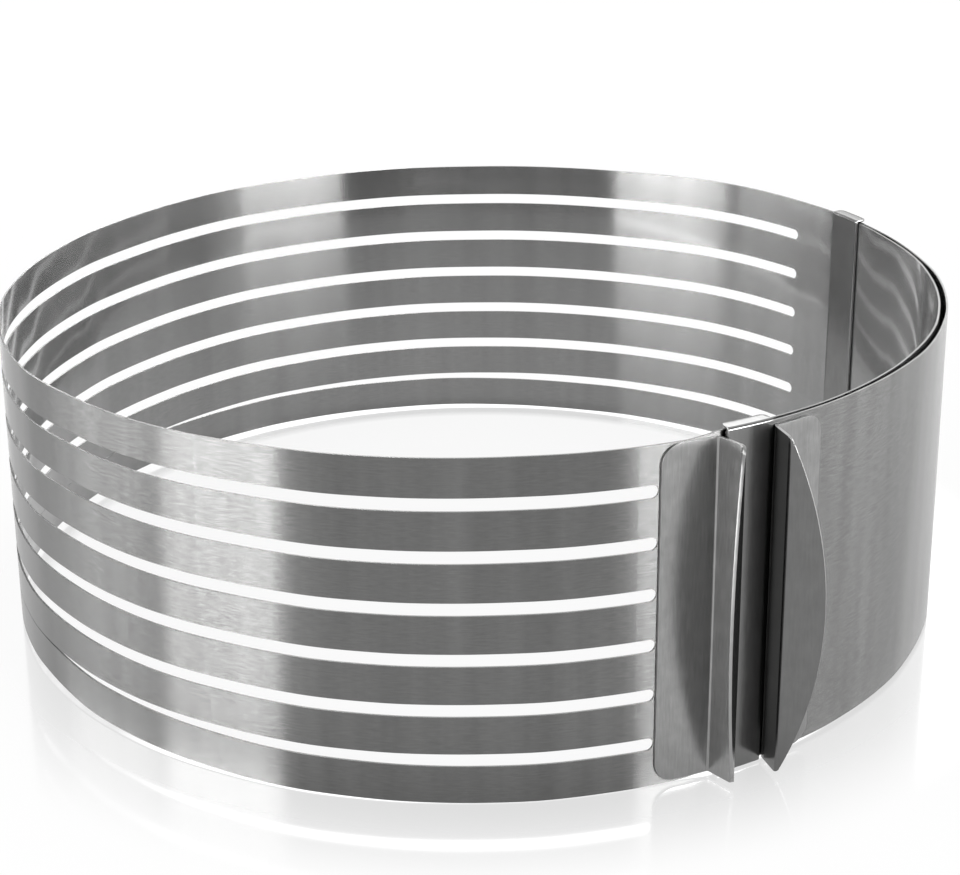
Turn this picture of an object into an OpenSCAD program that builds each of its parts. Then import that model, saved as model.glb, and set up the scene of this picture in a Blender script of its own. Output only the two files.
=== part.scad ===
// Adjustable layer-cutting cake ring.
// A thin stainless strip is coiled into a ring and laps over itself on the right.
// Six level slots guide a knife through the cake. Pulling the two bow handles apart
// lets the lap slide through its two guides, and the ring grows.
// The strip is one springy piece. It is cut here into equal rigid segments, hinged on
// its outer face, so that the ring can change size.
// Angles are degrees from the front, to the right. The strip is measured by its
// winding: degrees from its inner end at the back right, clockwise seen from above.

/* [Ring] */
// Radius of the strip's outer face, halfway along it, with the ring closed
ring_r = 126; // [100:1:160]
// Width of the strip, which is the height of the ring
band_w = 85; // [60:1:110]
// Thickness of the strip
band_t = 0.5; // [0.4:0.05:0.8]
// Where the strip's inner end lies
inner_end = 118.7; // [105:0.1:130]
// Winding of the whole strip, from its inner end to its outer end
wind = 452.3; // [450:0.1:460]
// How far one layer lies outside the layer below it
layer_step = 1.1; // [1.0:0.05:1.6]
// Extra bulge of the outer layer, halfway along the lap
lap_bulge = 1.4; // [0:0.1:1.8]
// Running gap between two segments
segment_gap = 0.05; // [0.03:0.01:0.1]

/* [Slots] */
// Number of knife slots, one above the other
slots = 6; // [2:1:6]
// Height of a slot
slot_h = 3.2; // [2:0.1:3.6]
// Sheet left between the left handle's plate and the slots
slot_margin = 0.35; // [0.2:0.05:5]
// How far the slots stop short of the inner end
slot_stop = 16.7; // [14:0.1:40]

/* [Handles] */
// Thickness of the handles' sheet
handle_t = 0.7; // [0.5:0.1:1]
// Width of the plate that is welded to the strip
plate_w = 14.6; // [10:0.1:15]
// Corner radius of that plate
plate_corner = 3.6; // [2:0.1:5]
// How far the plate stays below the strip's top edge
plate_drop = 1; // [0.5:0.1:3]
// How far the web stands out from the plate
web_d = 7.2; // [5:0.1:9]
// Inner radius of the folds
fold_r = 0.6; // [0.4:0.1:1]
// Angle between the web and the finger flange
flange_angle = 38; // [20:1:60]
// Width of the bow-shaped finger flange at its middle
flange_w = 10.6; // [7:0.1:13]
// How far the bow starts inside each end of the web
bow_inset = 0.8; // [0.5:0.1:2]
// Gap between the outer end and the left handle's web with the ring closed
closed_gap = 1.1; // [0.6:0.1:3]
// Gap between the right handle's web and the outer guide
web_gap = 0.4; // [0.3:0.1:1]

/* [Guides] */
// Thickness of the guides' sheet
guide_t = 0.7; // [0.5:0.05:0.9]
// Length of a guide along the strip
guide_w = 12; // [10:0.1:13]
// Depth of a guide's ears, measured through its plate
ear_d = 3.6; // [3.3:0.1:4.5]
// Play between an ear and the edge of the strip
ear_play = 0.2; // [0.1:0.05:0.4]
// Outer radius of a guide's folds
ear_fold = 0.7; // [0.4:0.1:0.9]

/* [Hidden] */
// Rigid segments that stand for the strip
segments = 20;
$fa = 1;
$fs = 0.4;
steel = [0.72, 0.73, 0.74];
handle_steel = [0.6, 0.61, 0.62];
guide_steel = [0.5, 0.51, 0.52];

// The strip's outer face, as a spiral whose outer layer bulges over the lap
segment_wind = wind / segments;
lap_wind = wind - 360;
function bulge_at(w) = w > 360 && w < wind ? lap_bulge * (1 - cos(360 * (w - 360) / lap_wind)) / 2 : 0;
function radius_at(w) = ring_r + layer_step * (w - wind / 2) / 360 + bulge_at(w);
function place(w) = let (a = inner_end - w) [radius_at(w) * sin(a), -radius_at(w) * cos(a)];

// Centre of the circle through three points
function circle_centre(a, b, c) =
    let (d = 2 * (a.x * (b.y - c.y) + b.x * (c.y - a.y) + c.x * (a.y - b.y)),
         ra = a * a, rb = b * b, rc = c * c)
    [(ra * (b.y - c.y) + rb * (c.y - a.y) + rc * (a.y - b.y)) / d,
     (ra * (c.x - b.x) + rb * (a.x - c.x) + rc * (b.x - a.x)) / d];

// Segment i is the arc through its two ends and its middle
centres = [for (i = [0:segments - 1])
    circle_centre(place(i * segment_wind), place((i + 0.5) * segment_wind), place((i + 1) * segment_wind))];
radii = [for (i = [0:segments - 1]) norm(place(i * segment_wind) - centres[i])];
function heading(v) = atan2(v.y, v.x);
function turn(a) = a - 360 * floor(a / 360);
first_angle = [for (i = [0:segments - 1]) heading(place(i * segment_wind) - centres[i])];
sweep = [for (i = [0:segments - 1])
    turn(first_angle[i] - heading(place((i + 1) * segment_wind) - centres[i]))];
function segment_of(w) = min(segments - 1, floor(w / segment_wind));
// Angle about a segment's own centre at which a winding lies
function arc_angle(i, w) = first_angle[i] - sweep[i] * (w / segment_wind - i);

// The lapped stretches ride on the guides' lower ears. The rest stands on the table
lift = guide_t + ear_play;
lifts = [for (i = [0:segments - 1])
    let (low = i * segment_wind, high = low + segment_wind)
    low < lap_wind || high >= 360 ? lift :
    low - segment_wind < lap_wind || high + segment_wind >= 360 ? lift / 2 : 0];

// Slots part the strip's width into equal bars, one to each layer of cake
bar_h = (band_w - slots * slot_h) / (slots + 1);
function slot_bottom(k) = bar_h + k * (bar_h + slot_h);

// What stands where along the strip. Closed, its outer end reaches the left handle's web
deg_per_mm = 180 / (PI * ring_r);
left_web_wind = lap_wind + closed_gap * deg_per_mm;
slot_start = left_web_wind + (plate_w + slot_margin) * deg_per_mm;
slot_end = 360 - slot_stop * deg_per_mm;
slot_round = slot_h / 2 * deg_per_mm;
guide_wind = guide_w * deg_per_mm;
fold_out = fold_r + handle_t;
right_web_wind = wind - guide_wind - web_gap * deg_per_mm;
left_plate_wind = left_web_wind + fold_out * deg_per_mm;
right_plate_wind = right_web_wind - fold_out * deg_per_mm;

// Folded handle
handle_top = band_w - plate_drop;
bow_h = handle_top - 2 * bow_inset;
bow_r = (pow(bow_h / 2, 2) + pow(flange_w, 2)) / (2 * flange_w);
// How far a cutter reaches past what it cuts
past = 2;

// The origin lies on the table, under the middle of the part's outline
function flange_tip(w, side) =
    let (i = segment_of(w), a = arc_angle(i, w), b = a + side * flange_angle)
    centres[i] + (radii[i] + handle_t + web_d) * [cos(a), sin(a)]
    + flange_w * [cos(b), sin(b)] + side * fold_out * [sin(b), -cos(b)];
outline = concat([for (w = [0:0.5:wind]) place(w)],
    [flange_tip(left_plate_wind, -1), flange_tip(right_plate_wind, 1)]);
middle = [(max([for (p = outline) p.x]) + min([for (p = outline) p.x])) / 2,
          (max([for (p = outline) p.y]) + min([for (p = outline) p.y])) / 2];

// Puts children in segment i's frame: its centre at the origin, its winding w along +X
module on_segment(i, w) {
    translate([centres[i].x - middle.x, centres[i].y - middle.y, lifts[i]])
        rotate([0, 0, arc_angle(i, w)])
            children();
}

// A curved sheet from winding w0 to w1 of segment i, between two radii and two heights
module curved_sheet(i, w0, w1, r0, r1, z0, z1) {
    on_segment(i, w1)
        rotate_extrude(angle = arc_angle(i, w0) - arc_angle(i, w1), $fn = 720)
            translate([r0, z0])
                square([r1 - r0, z1 - z0]);
}

// What the slots take from a segment: their round ends where they end in it, or all of it
module slot_cutters(i) {
    low = i * segment_wind;
    high = low + segment_wind;
    for (k = [0:slots - 1])
        if (low < slot_start) slot_from(i, slot_start + slot_round, k, -1);
        else if (high > slot_end) slot_from(i, slot_end - slot_round, k, 1);
        else curved_sheet(i, low - slot_round, high + slot_round, radii[i] - band_t - past, radii[i] + past,
            slot_bottom(k), slot_bottom(k) + slot_h);
}

// A slot from the centre of its round end to beyond the segment. side is the way it runs
module slot_from(i, w, k, side) {
    run = segment_wind / deg_per_mm;
    sag = run * run / (2 * radii[i]);
    on_segment(i, w)
        translate([radii[i] - band_t - sag, 0, slot_bottom(k) + slot_h / 2])
            rotate([90, 0, 90])
                linear_extrude(band_t + sag + past) {
                    circle(d = slot_h, $fn = 48);
                    translate([side > 0 ? 0 : -run, -slot_h / 2])
                        square([run, slot_h]);
                }
}

// One segment of the strip. Where the slots run right through, it is a stack of bars
module band(i) {
    low = i * segment_wind;
    high = low + segment_wind;
    gap = segment_gap / 2 * deg_per_mm;
    slotted = high > slot_start && low < slot_end;
    color(steel)
        difference() {
            curved_sheet(i, low + (i == 0 ? 0 : gap), high - (i == segments - 1 ? 0 : gap),
                radii[i] - band_t, radii[i], 0, band_w);
            if (slotted) slot_cutters(i);
        }
}

// Handle: plate on the strip, fold, web, fold, bow flange. w is where the plate meets its
// fold, and side is the way that the plate and the flange run
module handle(w, side) {
    i = segment_of(w);
    face = radii[i];
    web_r = face + handle_t + web_d;
    color(handle_steel)
        on_segment(i, w)
            mirror([0, side > 0 ? 0 : 1, 0]) {
                welded_plate(face);
                translate([face + fold_out, 0, 0])
                    fold(180, 90);
                translate([face + fold_out, -fold_out, 0])
                    cube([web_r - face - fold_out, handle_t, handle_top]);
                translate([web_r, 0, 0]) {
                    fold(-90, flange_angle);
                    rotate(flange_angle)
                        flange();
                }
            }
}

// Part of a ring that a folded sheet makes, from a start angle
module fold(start, angle) {
    rotate(start)
        rotate_extrude(angle = angle, $fn = 96)
            translate([fold_r, 0])
                square([handle_t, handle_top]);
}

// Plate bent to the strip's outer face, with its two free corners rounded
module welded_plate(face) {
    free_w = plate_w - fold_out;
    intersection() {
        rotate_extrude(angle = (free_w + past) / face * 180 / PI, $fn = 720)
            translate([face, 0])
                square([handle_t, handle_top]);
        // Outline seen from outside, drawn twice as wide to round the free corners only
        translate([face - past, 0, 0])
            rotate([90, 0, 90])
                linear_extrude(handle_t + 2 * past)
                    hull() {
                        for (y = [-1, 1], z = [plate_corner, handle_top - plate_corner])
                            translate([y * (free_w - plate_corner), z])
                                circle(plate_corner, $fn = 32);
                    }
    }
}

// Finger flange: a flat sheet whose free edge is an arc
module flange() {
    translate([0, -fold_r, 0])
        rotate([90, 0, 0])
            linear_extrude(handle_t)
                intersection() {
                    translate([flange_w - bow_r, handle_top / 2])
                        circle(bow_r, $fn = 360);
                    square([flange_w + past, handle_top]);
                }
}

// Guide: a plate with an ear folded over each edge of the strip that slides past it
module guide(i, w0, w1, plate_r, inward) {
    height = band_w + 2 * lift;
    back = inward ? plate_r + guide_t - ear_d : plate_r;
    channel = inward ? back - past : plate_r + guide_t;
    color(guide_steel)
        on_segment(i, w1)
            translate([0, 0, -lift])
                rotate_extrude(angle = arc_angle(i, w0) - arc_angle(i, w1), $fn = 720)
                    difference() {
                        translate([back, 0])
                            rounded_side(ear_d, height, inward);
                        translate([channel, guide_t])
                            square([ear_d - guide_t + past, height - 2 * guide_t]);
                    }
}

// Section of a guide before its channel is taken out, with its two folds rounded
module rounded_side(depth, height, inward) {
    difference() {
        square([depth, height]);
        for (z = [0, 1])
            translate([inward ? depth : 0, z * height])
                mirror([inward ? 0 : 1, 0])
                    mirror([0, z])
                        difference() {
                            translate([-ear_fold, -past])
                                square([ear_fold + past, ear_fold + past]);
                            translate([-ear_fold, ear_fold])
                                circle(ear_fold, $fn = 48);
                        }
    }
}

module left_handle() handle(left_plate_wind, -1);
module right_handle() handle(right_plate_wind, 1);
module inner_guide() guide(0, 0, guide_wind, radii[0] - band_t - guide_t, false);
module outer_guide() guide(segments - 1, wind - guide_wind, wind, radii[segments - 1], true);

for (i = [0:segments - 1])
    band(i);
left_handle();
right_handle();
inner_guide();
outer_guide();
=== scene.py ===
import math
import bmesh
import bpy
from mathutils import Matrix, Vector


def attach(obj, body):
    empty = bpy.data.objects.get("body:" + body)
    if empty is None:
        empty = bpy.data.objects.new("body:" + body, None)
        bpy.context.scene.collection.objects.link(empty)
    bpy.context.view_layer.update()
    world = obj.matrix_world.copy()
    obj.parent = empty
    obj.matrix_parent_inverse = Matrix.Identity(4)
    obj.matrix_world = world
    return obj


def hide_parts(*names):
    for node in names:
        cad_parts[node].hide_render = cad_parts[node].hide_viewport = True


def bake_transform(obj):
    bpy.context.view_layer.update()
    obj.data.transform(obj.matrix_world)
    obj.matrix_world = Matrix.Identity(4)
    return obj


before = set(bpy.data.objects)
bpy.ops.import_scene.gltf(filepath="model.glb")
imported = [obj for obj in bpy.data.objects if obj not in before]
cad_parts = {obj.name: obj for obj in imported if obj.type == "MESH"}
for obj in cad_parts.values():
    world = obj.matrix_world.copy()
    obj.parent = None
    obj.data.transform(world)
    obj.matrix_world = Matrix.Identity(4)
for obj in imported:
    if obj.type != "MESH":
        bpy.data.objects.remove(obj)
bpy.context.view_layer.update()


mm = 0.001
near = 0.01     # points closer than this, in millimetres, are the same point

# The strip as it is coiled. Sizes are in millimetres and angles in degrees, and a winding is the
# degrees along the strip from its inner end, at the back right, round to its outer end
coil = {
    "radius": 126, "wind": 452.3, "innerEnd": 118.7, "step": 1.1, "bulge": 0.9,
    "height": 85, "thick": 0.5, "segments": 20, "middle": (0.76993, -2.54222), "column": 1.1,
    # the lapped stretch rides up on the guides' lower ears
    "lift": 0.9, "liftEnds": (92.2, 96.8), "liftStarts": (312, 344),
    "seat": 0.01, "blendHeight": 40,
}
slots = {
    "count": 6, "tall": 3.2, "start": 99.6, "end": 352.41, "roundCuts": 13,
    "clear": 0.3, "columnClear": 0.4,
    # the upper bars hang a little on the left, and the lowest bar stands up to meet them
    "sag": 1.55, "rise": 1.5,
    "closing": [(94, 0), (118, 0), (138, 0.15), (163, 0.5), (181, 1), (238, 1), (266, 0.6),
                (292, 0.42), (318, 0.2), (341, 0), (460, 0)],
}
perDegree = math.radians(1) * coil["radius"]
segmentWind = coil["wind"] / coil["segments"]
lapWind = coil["wind"] - 360
barTall = (coil["height"] - slots["count"] * slots["tall"]) / (slots["count"] + 1)
slotBottoms = [barTall + k * (barTall + slots["tall"]) for k in range(slots["count"])]
leftSegment, lastSegment = 4, coil["segments"] - 1     # the ones that carry a handle


def smooth(t):
    t = min(max(t, 0), 1)
    return t * t * (3 - 2 * t)


def between(low, high, step):
    count = max(1, round((high - low) / step))
    return [low + (high - low) * k / count for k in range(1, count)]


def circlePoint(angle, radius):
    return Vector((radius * math.cos(angle), radius * math.sin(angle)))


def radiusAt(wind):
    radius = coil["radius"] + coil["step"] * (wind - coil["wind"] / 2) / 360
    if 360 < wind < coil["wind"]:
        radius += coil["bulge"] * (1 - math.cos(math.tau * (wind - 360) / lapWind)) / 2
    return radius


def coilPoint(wind, out=0):
    a = math.radians(coil["innerEnd"] - wind)
    radius = radiusAt(wind) + out
    return Vector((radius * math.sin(a), -radius * math.cos(a)))


def intoRow(point, z):
    return Vector((point.x - coil["middle"][0], point.y - coil["middle"][1], z)) * mm


def segmentArc(index):
    # centre, radius, first angle and sweep of the arc through a segment's two ends and its middle
    a, b, c = (coilPoint((index + part) * segmentWind) for part in (0, 0.5, 1))
    d = 2 * (a.x * (b.y - c.y) + b.x * (c.y - a.y) + c.x * (a.y - b.y))
    ra, rb, rc = a.length_squared, b.length_squared, c.length_squared
    centre = Vector(((ra * (b.y - c.y) + rb * (c.y - a.y) + rc * (a.y - b.y)) / d,
                     (ra * (c.x - b.x) + rb * (a.x - c.x) + rc * (b.x - a.x)) / d))
    first = math.atan2(*(a - centre).yx)
    last = math.atan2(*(c - centre).yx)
    return centre, (a - centre).length, first, (first - last) % math.tau


def windAngle(index, wind):
    first, sweep = segmentArc(index)[2:]
    return first - sweep * (wind / segmentWind - index)


# flat sheets: x runs along the sheet, z is its height and y goes through it, in millimetres
def flatSheet(left, right, tall):
    bm = bmesh.new()
    bmesh.ops.create_grid(bm, x_segments=1, y_segments=1, size=0.5)
    bmesh.ops.rotate(bm, matrix=Matrix.Rotation(math.pi / 2, 3, "X"), verts=bm.verts)
    bmesh.ops.scale(bm, vec=(right - left, 1, tall), verts=bm.verts)
    bmesh.ops.translate(bm, vec=((left + right) / 2, 0, tall / 2), verts=bm.verts)
    return bm


def roundCorners(bm, corners, size, segments):
    bmesh.ops.bevel(bm, geom=corners, offset=size, segments=segments, profile=0.5,
                    affect="VERTICES", material=-1)


def cutSheet(bm, columns, rows):
    cuts = [((x, 0, 0), (1, 0, 0)) for x in columns] + [((0, 0, z), (0, 0, 1)) for z in rows]
    for at, across in cuts:
        bmesh.ops.bisect_plane(bm, geom=bm.verts[:] + bm.edges[:] + bm.faces[:], dist=1e-4,
                               plane_co=at, plane_no=across)


def thicken(bm, inner, outer):
    bmesh.ops.translate(bm, vec=(0, inner, 0), verts=bm.verts)
    grown = bmesh.ops.extrude_face_region(bm, geom=bm.faces[:])
    moved = [g for g in grown["geom"] if isinstance(g, bmesh.types.BMVert)]
    bmesh.ops.translate(bm, vec=(0, outer - inner, 0), verts=moved)
    bmesh.ops.recalc_face_normals(bm, faces=bm.faces)


# an edge bent further than these, in radians, is a rim or is shaded sharp. A flat face's normal has
# at least this much of y
edges = {"rim": 1, "sharp": 0.6, "flat": 0.9}


def easeEdges(bm, size, segments):
    rims = [e for e in bm.edges if e.is_manifold and e.calc_face_angle() > edges["rim"]]
    bmesh.ops.bevel(bm, geom=rims, offset=size, segments=segments, profile=0.5, affect="EDGES",
                    material=-1, clamp_overlap=True)


def layGrain(bm):
    # the grain's map, in metres along and across the sheet. The thickness shifts it at the rims
    grain = bm.loops.layers.uv.new("grain")
    for face in bm.faces:
        for loop in face.loops:
            x, y, z = loop.vert.co
            loop[grain].uv = ((x + y / 2) * mm, (z + y) * mm)


def markFaces(bm, inside=None, rims=None):
    # on the flat sheet, before it is bent
    for face in bm.faces:
        if rims is not None and abs(face.normal.y) < edges["flat"]:
            face.material_index = rims
        elif inside is not None and face.normal.y < 0:
            face.material_index = inside


def finishPiece(bm, name, materials):
    bmesh.ops.recalc_face_normals(bm, faces=bm.faces)
    for face in bm.faces:
        face.smooth = True
    for edge in bm.edges:
        edge.smooth = edge.is_manifold and edge.calc_face_angle() < edges["sharp"]
    mesh = bpy.data.meshes.new(name)
    bm.to_mesh(mesh)
    bm.free()
    for material in materials:
        mesh.materials.append(material)
    piece = bpy.data.objects.new(name, mesh)
    bpy.context.scene.collection.objects.link(piece)
    return piece


def addNode(tree, kind, *links, **values):
    node = tree.nodes.new("ShaderNode" + kind)
    for key, value in values.items():
        setattr(node, key, value)
    for socket, source in links:
        if isinstance(source, bpy.types.NodeSocket):
            tree.links.new(source, node.inputs[socket])
        else:
            node.inputs[socket].default_value = source
    return node


def mapRange(tree, value, low, high, toLow, toHigh, **values):
    span = addNode(tree, "MapRange", ("Value", value), ("From Min", low), ("From Max", high),
                   ("To Min", toLow), ("To Max", toHigh), **values)
    return span.outputs["Result"]


# brushed stainless. The grain runs along the strip, shinier on its inner side, and up and down the
# handles and guides. The strip's inner side is also painted a little lighter, painted light against the
# ring's own shade inside. The inner faces of the folded handles and the inner guide's ears are painted
# darker, painted shade, the guide plates are painted darker, painted shade in their channel, and cut
# edges are duller
upright = {"rough": (0.2, 0.24), "anisotropy": 0.4, "coat": 0, "lines": (2200, 160),
           "patches": (260, 200), "bump": 0.1}
steels = {
    "bandSteel": {"colour": (0.178, 0.178, 0.1765), "rough": (0.225, 0.255), "anisotropy": 1,
                  "coat": 0, "lines": (280, 2600), "patches": (120, 9), "contrast": 0.2, "bump": 0.2},
    # the inner side's colour is painted a little lighter than the outer side's, painted light against the
    # ring's own shade; its coat makes it shinier
    "insidePaintedLightSteel": {"colour": (0.199, 0.199, 0.1975), "rough": (0.19, 0.21), "anisotropy": 1,
                    "coat": 1, "lines": (280, 2600), "patches": (120, 9), "contrast": 0.18, "bump": 0.1},
    "handleSteel": {"colour": (0.3, 0.3, 0.298), "contrast": 0.14, **upright},
    # the handle steel painted darker: painted shade on the handles' inner faces and the inner guide's
    # ears
    "paintedShadeSteel": {"colour": (0.16, 0.16, 0.159), "contrast": 0.09, **upright},
    # the guide plates' steel is painted darker than the handle steel: painted shade in the channel round
    # the sliding layer
    "guidePaintedShadeSteel": {"colour": (0.19, 0.19, 0.1885), "contrast": 0.09, **upright},
    "edgeSteel": {"colour": (0.28, 0.28, 0.2785), "rough": (0.4, 0.5), "anisotropy": 0, "coat": 0,
                  "lines": (400, 400), "patches": (90, 90), "contrast": 0.06, "bump": 0.05},
}
brushing = {
    "coatRough": 0.08, "coatIor": 1.6, "detail": 3, "lineRough": 0.6, "patchRough": 0.55,
    "lineRange": (0.3, 0.7), "tintRange": (0.65, 1.35), "depth": 0.00003, "quarterTurn": 0.25,
}


def brushedSteel(name):
    look = steels[name]
    material = bpy.data.materials.new(name)
    material.use_nodes = True
    tree = material.node_tree
    shader = tree.nodes["Principled BSDF"]
    along = look["lines"][0] < look["lines"][1]
    settings = {
        "Metallic": 1, "Anisotropic": look["anisotropy"], "Coat Weight": look["coat"],
        "Coat Roughness": brushing["coatRough"], "Coat IOR": brushing["coatIor"],
        "Anisotropic Rotation": brushing["quarterTurn"] if along else 0,
    }
    for socket, value in settings.items():
        shader.inputs[socket].default_value = value
    tangent = addNode(tree, "Tangent", direction_type="UV_MAP", uv_map="grain")
    grainMap = addNode(tree, "UVMap", uv_map="grain")

    def noise(scale, rough):
        spread = addNode(tree, "Mapping", ("Scale", (*scale, 1)), ("Vector", grainMap.outputs["UV"]))
        texture = addNode(tree, "TexNoise", ("Scale", 1), ("Detail", brushing["detail"]),
                          ("Roughness", rough), ("Vector", spread.outputs["Vector"]))
        return texture.outputs["Fac"]

    lines = noise(look["lines"], brushing["lineRough"])
    patches = noise(look["patches"], brushing["patchRough"])
    both = addNode(tree, "Math", (0, lines), (1, patches), operation="ADD")
    dark, light = ((*[c * share for c in look["colour"]], 1)
                   for share in (1 - look["contrast"], 1 + look["contrast"]))
    mixed = mapRange(tree, both.outputs["Value"], *brushing["tintRange"], 0, 1)
    tint = addNode(tree, "Mix", ("A", dark), ("B", light), ("Factor", mixed), data_type="RGBA")
    bump = addNode(tree, "Bump", ("Strength", look["bump"]), ("Distance", brushing["depth"]),
                   ("Height", lines))
    rough = mapRange(tree, lines, *brushing["lineRange"], *look["rough"])
    for source, socket in ((tangent.outputs["Tangent"], "Tangent"), (rough, "Roughness"),
                           (tint.outputs["Result"], "Base Color"), (bump.outputs["Normal"], "Normal")):
        tree.links.new(source, shader.inputs[socket])
    return material


bandSteel, insidePaintedLightSteel, handleSteel, paintedShadeSteel, guidePaintedShadeSteel, edgeSteel = map(brushedSteel, steels)
print("steels ready")


# the strip, in pieces that each reach from the middle of one segment to the middle of the next
def closing(wind):
    for (w0, c0), (w1, c1) in zip(slots["closing"], slots["closing"][1:]):
        if w0 <= wind < w1:
            return c0 + (c1 - c0) * smooth((wind - w0) / (w1 - w0))
    return 0


def liftAt(wind):
    down, back = (smooth((wind - low) / (high - low))
                  for low, high in (coil["liftEnds"], coil["liftStarts"]))
    return coil["lift"] * (1 - down + back)


ripples = {
    "depth": 0.1, "long": (58, 31, 17), "share": (1, 0.5, 0.16), "phase": (0.4, 2.1, 4.4), "slant": 40,
    # where a plate is welded on, the strip lies true, and the ripples grow over some degrees from there
    "held": [(0, 5.5), (92, 100.5), (438, 452.3)], "grow": 6,
}


def rippleAt(x, z, wind):
    calm = min(smooth(max(low - wind, wind - high) / ripples["grow"]) for low, high in ripples["held"])
    if calm == 0:
        return 0
    total = sum(share * math.sin(math.tau * x / long + phase + z / ripples["slant"])
                for long, share, phase in zip(ripples["long"], ripples["share"], ripples["phase"]))
    return ripples["depth"] * (total - sum(ripples["share"])) * calm     # never outside the true face


def bendStrip(bm):
    tipOver = barTall + slots["tall"] / 2
    for vert in bm.verts:
        x, y, z = vert.co
        wind = x / perDegree
        shut = closing(wind)
        z += (slots["rise"] if z < tipOver else -slots["sag"]) * shut + liftAt(wind)
        vert.co = intoRow(coilPoint(wind, y + rippleAt(x, z, wind)), z)


def onEnd(vert, stop, low, high):
    return abs(vert.co.x - stop) < near and low < vert.co.z < high


def openSlots(bm):
    radius = slots["tall"] / 2
    start = slots["start"] * perDegree + radius
    end = slots["end"] * perDegree - radius
    for low in slotBottoms:
        high = low + slots["tall"]
        inside = [f for f in bm.faces if low < f.calc_center_median().z < high
                  and start < f.calc_center_median().x < end]
        bmesh.ops.delete(bm, geom=inside, context="FACES")
        for stop, way in ((start, -1), (end, 1)):
            ends = [e for e in bm.edges if all(onEnd(v, stop, low - near, high + near) for v in e.verts)]
            if not ends:
                continue
            bmesh.ops.subdivide_edges(bm, edges=ends, cuts=slots["roundCuts"])
            rim = sorted((v for v in bm.verts if onEnd(v, stop, low + near, high - near)),
                         key=lambda v: v.co.z)
            for index, vert in enumerate(rim, 1):
                turn = math.pi * index / (len(rim) + 1)
                vert.co.x = stop + way * radius * math.sin(turn)
                vert.co.z = (low + high) / 2 - radius * math.cos(turn)


def stripPiece(name, windFrom, windTo):
    left, right = windFrom * perDegree, windTo * perDegree
    radius, clear = slots["tall"] / 2, slots["clear"]
    start, end = slots["start"] * perDegree, slots["end"] * perDegree
    columns = between(left, right, coil["column"])
    for low, high in ((start - clear, start + radius), (end - radius, end + clear)):
        columns = [x for x in columns if not low - slots["columnClear"] < x < high + slots["columnClear"]]
        columns += [x for x in (low, high) if left + near < x < right - near]
    rows = []
    for low in slotBottoms:
        rows += [low - barTall / 2, low, low + slots["tall"]]
    rows.append(coil["height"] - barTall / 2)
    bm = flatSheet(left, right, coil["height"])
    cutSheet(bm, sorted(columns), rows)
    openSlots(bm)
    thicken(bm, -coil["thick"], 0)
    layGrain(bm)
    # the inner side gets the lighter steel, painted light
    markFaces(bm, inside=1)
    bendStrip(bm)
    return finishPiece(bm, name, [bandSteel, insidePaintedLightSteel])


pieces = coil["segments"] - 1
bandName = [f"band_{k + 1:02d}" for k in range(coil["segments"])]
leftPlateStart = 93.0     # the winding from which the strip would follow the left handle's segment; the script only computes a point from it, which nothing uses
for k in range(pieces):
    windFrom = 0 if k == 0 else (k + 0.5) * segmentWind
    windTo = coil["wind"] if k == pieces - 1 else (k + 1.5) * segmentWind
    strip = stripPiece(f"strip{k + 1:02d}", windFrom, windTo)
    bendFrom = (k + 0.5) * segmentWind
    bendTo = leftPlateStart if k + 1 == leftSegment else (k + 1.5) * segmentWind
    intoRow(coilPoint(bendFrom, -coil["thick"] / 2), coil["blendHeight"])
    intoRow(coilPoint(bendTo, -coil["thick"] / 2), coil["blendHeight"])
    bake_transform(strip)
    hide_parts(bandName[k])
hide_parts(bandName[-1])
print("strip ready,", pieces, "pieces")


# folded handle: plate, fold, web, fold and a bow-shaped finger flange, from one blank. The right one
# stands beside the outer guide, so the guides' sizes are here too
handle = {
    "thick": 0.7, "plate": 14.6, "corner": 4.8, "cornerSegments": 10, "height": 84, "web": 7.2,
    "webLean": 15, "foldInside": 0.6, "flangeAngle": 42, "flange": 9, "bowInset": 0.8, "tip": 0.3,
    "ease": 0.3, "easeSegments": 3, "webCorner": 1.8, "closedGap": 1.1, "guideGap": 0.4,
    # how close the cuts lie, across the plate, the folds, the web with its outer strip, and up
    "plateStep": 1.4, "foldStep": 0.15, "webStep": 1.5, "webEdge": 1.2, "edgeStep": 0.15,
    "flangeFoldStep": 0.1, "flangeStep": 1.5, "rowStep": 2,
}
guide = {
    "thick": 0.7, "long": 12, "ear": 3.6, "fold": 0.7, "play": 0.2, "corner": 1.6,
    "cornerSegments": 4, "ease": 0.25, "easeSegments": 2,
    "step": 1, "foldStep": 0.07, "plateStep": 4,     # how close its cuts lie
}
leftWeb = lapWind + handle["closedGap"] / perDegree
rightWeb = coil["wind"] - (guide["long"] + handle["guideGap"]) / perDegree


def placeOnSegment(bm, index, wind, lift):
    centre = segmentArc(index)[0]
    turn = Matrix.Rotation(windAngle(index, wind), 4, "Z")
    shift = Matrix.Translation((centre.x - coil["middle"][0], centre.y - coil["middle"][1], lift))
    bmesh.ops.transform(bm, matrix=Matrix.Scale(mm, 4) @ shift @ turn, verts=bm.verts)


def shapeFlange(bm, fromX):
    # the flange's free edge becomes an arc, and the web's outer corners are rounded off
    tall, flange, corner = handle["height"], handle["flange"], handle["webCorner"]
    bow = tall / 2 - handle["bowInset"]
    radius = (bow ** 2 + flange ** 2) / (2 * flange)
    for vert in bm.verts:
        if vert.co.x > fromX:
            off = vert.co.z - tall / 2
            reach = math.sqrt(max(radius ** 2 - off ** 2, 0)) - radius + flange
            vert.co.x = fromX + (vert.co.x - fromX) * max(reach, handle["tip"]) / flange
    for vert in bm.verts:
        into = min(max(vert.co.x - fromX - handle["tip"] + corner, 0), corner)
        drop = corner - math.sqrt(corner ** 2 - into ** 2)
        vert.co.z = min(max(vert.co.z, drop), tall - drop)


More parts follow.
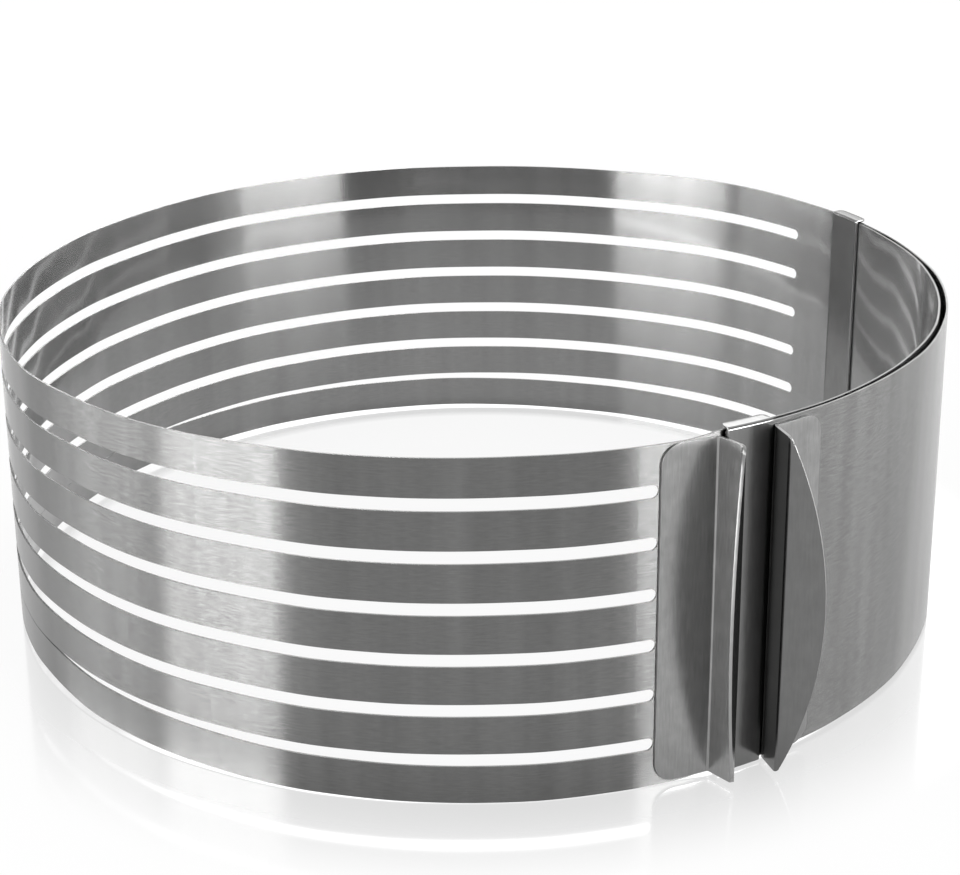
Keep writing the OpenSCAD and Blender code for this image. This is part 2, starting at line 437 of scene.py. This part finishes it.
def foldedHandle(name, index, wind, side):
    t, tall = handle["thick"], handle["height"]
    foldOut = handle["foldInside"] + t
    foldMid = handle["foldInside"] + t / 2
    face = segmentArc(index)[1] + coil["seat"]
    flat = handle["plate"] - foldOut
    lean, turnTo = math.radians(handle["webLean"]), math.radians(handle["flangeAngle"])
    fold1 = foldMid * (math.pi / 2 - lean)
    web = handle["web"] + t - foldOut
    fold2 = foldMid * (lean + turnTo)
    marks = [flat, flat + fold1, flat + fold1 + web, flat + fold1 + web + fold2]
    wide = marks[-1] + handle["flange"]
    bm = flatSheet(0, wide, tall)
    roundCorners(bm, [v for v in bm.verts if v.co.x < near], handle["corner"], handle["cornerSegments"])
    webEdge = marks[2] - handle["webEdge"]
    columns = marks + between(0, flat, handle["plateStep"])
    for low, high, step in ((marks[0], marks[1], "foldStep"), (marks[1], webEdge, "webStep"),
                            (webEdge, marks[2], "edgeStep"), (marks[2], marks[3], "flangeFoldStep"),
                            (marks[3], wide, "flangeStep")):
        columns += between(low, high, handle[step])
    cutSheet(bm, sorted(columns), between(0, tall, handle["rowStep"]))
    shapeFlange(bm, marks[3])
    thicken(bm, -t / 2, t / 2)
    easeEdges(bm, handle["ease"], handle["easeSegments"])
    layGrain(bm)
    # the handle's inner faces get the darker steel, painted shade
    markFaces(bm, inside=2, rims=1)
    foldCentre = Vector((face + foldOut, 0))
    webWay = Vector((math.cos(lean), -math.sin(lean)))
    webBack = Vector((-math.sin(lean), -math.cos(lean)))
    for vert in bm.verts:
        x, y, z = vert.co
        if x <= marks[0]:
            at = circlePoint((flat - x) / face, face + t / 2 + y)
        elif x <= marks[1]:
            at = foldCentre + circlePoint(math.pi + (x - marks[0]) / foldMid, foldMid - y)
        elif x <= marks[2]:
            at = foldCentre + (foldMid - y) * webBack + (x - marks[1]) * webWay
        else:
            a = -math.pi / 2 - lean + min(x - marks[2], fold2) / foldMid
            at = foldCentre + web * webWay + circlePoint(a, foldMid - y)
            at += circlePoint(turnTo, max(x - marks[3], 0))
        vert.co = Vector((at.x, side * at.y, z))
    placeOnSegment(bm, index, wind, coil["lift"])
    return finishPiece(bm, name, [handleSteel, edgeSteel, paintedShadeSteel])


foldOutDegrees = (handle["foldInside"] + handle["thick"]) / perDegree
leftHandle = foldedHandle("leftHandle", leftSegment, leftWeb + foldOutDegrees, -1)
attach(leftHandle, "band_05")
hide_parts("left_handle")
rightHandle = foldedHandle("rightHandle", lastSegment, rightWeb - foldOutDegrees, 1)
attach(rightHandle, "band_20")
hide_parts("right_handle")
print("handles ready")


# guide: a plate welded to one end of the strip, its two ears folded over the layer that slides past
def foldedGuide(name, index, windFrom, windTo, backRadius, way, earSteel):
    t, fold = guide["thick"], guide["fold"]
    tall = coil["height"] + 2 * (t + guide["play"])
    foldMid = fold - t / 2
    quarter = foldMid * math.pi / 2
    ear = guide["ear"] - fold
    marks = [ear, ear + quarter, ear + quarter + tall - 2 * fold, ear + 2 * quarter + tall - 2 * fold]
    blank = marks[-1] + ear
    wide = (windAngle(index, windFrom) - windAngle(index, windTo)) * backRadius
    bm = flatSheet(0, wide, blank)
    roundCorners(bm, bm.verts[:], guide["corner"], guide["cornerSegments"])
    rows = marks + between(0, ear, guide["step"]) + between(marks[1], marks[2], guide["plateStep"])
    for low, high in ((marks[0], marks[1]), (marks[2], marks[3])):
        rows += between(low, high, guide["foldStep"])
    rows += between(marks[3], blank, guide["step"])
    cutSheet(bm, between(0, wide, guide["step"]), sorted(rows))
    thicken(bm, -t / 2, t / 2)
    easeEdges(bm, guide["ease"], guide["easeSegments"])
    layGrain(bm)
    markFaces(bm, rims=1)
    for face in bm.faces:     # the ears have a steel of their own
        if not marks[0] < face.calc_center_median().z < marks[3]:
            face.material_index = 2
    for vert in bm.verts:
        x, y, z = vert.co
        if z <= marks[0]:
            deep, high = guide["ear"] - z, t / 2 - y
        elif z <= marks[1]:
            a = (z - marks[0]) / foldMid
            deep, high = fold - (foldMid + y) * math.sin(a), fold - (foldMid + y) * math.cos(a)
        elif z <= marks[2]:
            deep, high = t / 2 - y, fold + z - marks[1]
        elif z <= marks[3]:
            a = (z - marks[2]) / foldMid
            deep, high = fold - (foldMid + y) * math.cos(a), tall - fold + (foldMid + y) * math.sin(a)
        else:
            deep, high = fold + z - marks[3], tall - t / 2 + y
        at = circlePoint(x / backRadius, backRadius + way * deep)
        vert.co = Vector((at.x, at.y, high))
    placeOnSegment(bm, index, windTo, 0)
    # the plate takes the darker guide steel, painted shade
    return finishPiece(bm, name, [guidePaintedShadeSteel, edgeSteel, earSteel])


guideWind = guide["long"] / perDegree
innerBack = segmentArc(0)[1] - coil["thick"] - guide["thick"] - coil["seat"]
# the inner guide's ears get the darker steel, painted shade
innerGuide = foldedGuide("innerGuide", 0, 0, guideWind, innerBack, 1, paintedShadeSteel)
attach(innerGuide, "band_01")
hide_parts("inner_guide")
outerBack = segmentArc(lastSegment)[1] + guide["thick"] + coil["seat"]
outerGuide = foldedGuide("outerGuide", lastSegment, coil["wind"] - guideWind, coil["wind"], outerBack, -1,
                         handleSteel)
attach(outerGuide, "band_20")
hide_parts("outer_guide")
print("guides ready")

# floor, light and camera
studio = {
    "floorSize": 9, "floorSides": 96, "floorDrop": 0.0002, "floorColour": 0.64,
    # how white the floor is to the camera, and how white it shows in the steel
    "floorWhite": 0.9, "floorInSteel": 0.83,
    "shine": 0.25, "shineRough": 0.1, "shineIn": 0.119, "shineFrom": 0.1235, "shineTo": 0.16,
    "frontWorld": 0.03, "backWorld": 1.35, "worldTurn": (0.2, 1.1), "lean": 0.5,
    "boxDistance": 4.2,
}
softboxes = [     # name, azimuth from the front, elevation, width and height in degrees, radiance
    ("leftBox", -58.5, 9, 28.5, 18, 38),
    ("leftSide", -92, 9, 30, 18, 18.5),
    ("leftBack", -159, 5, 38, 10, 18),
    ("back", 174, 27.5, 30, 21, 1.7),
    ("rightBox", 42.5, 9, 13, 18, 31),
    ("rightStrip", 56.5, 9, 15, 18, 33),
    ("rightSide", 85, 9, 42, 18, 8.2),
    ("rightBack", 127, 9, 40, 18, 7),
]


def addSoftbox(name, azimuth, elevation, wide, tall, radiance):
    light = bpy.data.lights.new(name, "AREA")
    light.shape = "RECTANGLE"
    light.size = 2 * studio["boxDistance"] * math.tan(math.radians(wide / 2))
    light.size_y = 2 * studio["boxDistance"] * math.tan(math.radians(tall / 2))
    light.energy = radiance * math.pi * light.size * light.size_y
    lamp = bpy.data.objects.new(name, light)
    bpy.context.scene.collection.objects.link(lamp)
    a, e = math.radians(azimuth), math.radians(elevation)
    toward = Vector((math.sin(a) * math.cos(e), -math.cos(a) * math.cos(e), math.sin(e)))
    lamp.location = toward * studio["boxDistance"]
    lamp.rotation_euler = toward.to_track_quat("Z", "Y").to_euler()


for box in softboxes:
    addSoftbox(*box)

floorMesh = bpy.data.meshes.new("floor")
bm = bmesh.new()
bmesh.ops.create_circle(bm, cap_ends=True, segments=studio["floorSides"], radius=studio["floorSize"] / 2)
bm.to_mesh(floorMesh)
bm.free()
floor = bpy.data.objects.new("floor", floorMesh)
floor.location.z = -studio["floorDrop"]
bpy.context.scene.collection.objects.link(floor)

# pale satin floor. It shines close round the ring, not inside it, and the shine fades further off
floorPaint = bpy.data.materials.new("floorPaint")
floorPaint.use_nodes = True
tree = floorPaint.node_tree
tree.nodes.remove(tree.nodes["Principled BSDF"])
pale = addNode(tree, "BsdfDiffuse", ("Color", (studio["floorColour"],) * 3 + (1,)))
white = addNode(tree, "Emission")
path = addNode(tree, "LightPath")
seen = addNode(tree, "Math", (0, path.outputs["Is Camera Ray"]), (1, studio["floorWhite"]),
               operation="MULTIPLY")
inSteel = addNode(tree, "Math", (0, path.outputs["Is Glossy Ray"]),
                  (1, path.outputs["Is Transmission Ray"]), operation="MAXIMUM")
whiteness = addNode(tree, "Math", (0, inSteel.outputs[0]), (1, studio["floorInSteel"]),
                    (2, seen.outputs[0]), operation="MULTIPLY_ADD")
paper = addNode(tree, "MixShader", ("Fac", whiteness.outputs[0]), (1, pale.outputs[0]),
                (2, white.outputs[0]))
place = addNode(tree, "TexCoord")
away = addNode(tree, "VectorMath", (0, place.outputs["Object"]), operation="LENGTH")
fading = mapRange(tree, away.outputs["Value"], studio["shineFrom"], studio["shineTo"],
                  studio["shine"], 0, interpolation_type="SMOOTHSTEP")
outside = mapRange(tree, away.outputs["Value"], studio["shineIn"], studio["shineFrom"], 0, 1)
fade = addNode(tree, "Math", (0, fading), (1, outside), operation="MULTIPLY")
mirror = addNode(tree, "BsdfGlossy", ("Roughness", studio["shineRough"]))
shiny = addNode(tree, "MixShader", ("Fac", fade.outputs[0]), (1, paper.outputs[0]),
                (2, mirror.outputs[0]))
tree.links.new(shiny.outputs[0], tree.nodes["Material Output"].inputs["Surface"])
floorMesh.materials.append(floorPaint)

# the room is dim in front and bright behind
world = bpy.data.worlds.new("studio")
world.use_nodes = True
tree = world.node_tree
direction = addNode(tree, "TexCoord")
parts = addNode(tree, "SeparateXYZ", (0, direction.outputs["Generated"]))
behind = addNode(tree, "Math", (0, parts.outputs["Y"]), (1, studio["lean"]), (2, parts.outputs["Z"]),
                 operation="MULTIPLY_ADD")
level = mapRange(tree, behind.outputs[0], *studio["worldTurn"], studio["frontWorld"],
                 studio["backWorld"], interpolation_type="SMOOTHSTEP")
tree.links.new(level, tree.nodes["Background"].inputs["Color"])
bpy.context.scene.world = world
bpy.context.scene.view_settings.view_transform = "Standard"

# the camera stands in front, a little above, with its place in millimetres
view = {"lens": 77.39, "sensor": 36, "pitch": 18.85, "yaw": 0.29, "roll": -0.42,
        "place": (-0.77, -532.7, 255.8), "shiftY": -0.1203}
cameraData = bpy.data.cameras.new("camera")
cameraData.lens = view["lens"]
cameraData.sensor_width = view["sensor"]
cameraData.shift_y = view["shiftY"]
camera = bpy.data.objects.new("camera", cameraData)
bpy.context.scene.collection.objects.link(camera)
camera.location = Vector(view["place"]) * mm
aim = (Matrix.Rotation(math.radians(-view["yaw"]), 3, "Z")
       @ Matrix.Rotation(math.radians(90 - view["pitch"]), 3, "X")
       @ Matrix.Rotation(math.radians(view["roll"]), 3, "Z"))
camera.rotation_euler = aim.to_euler()
bpy.context.scene.camera = camera
print("studio ready")
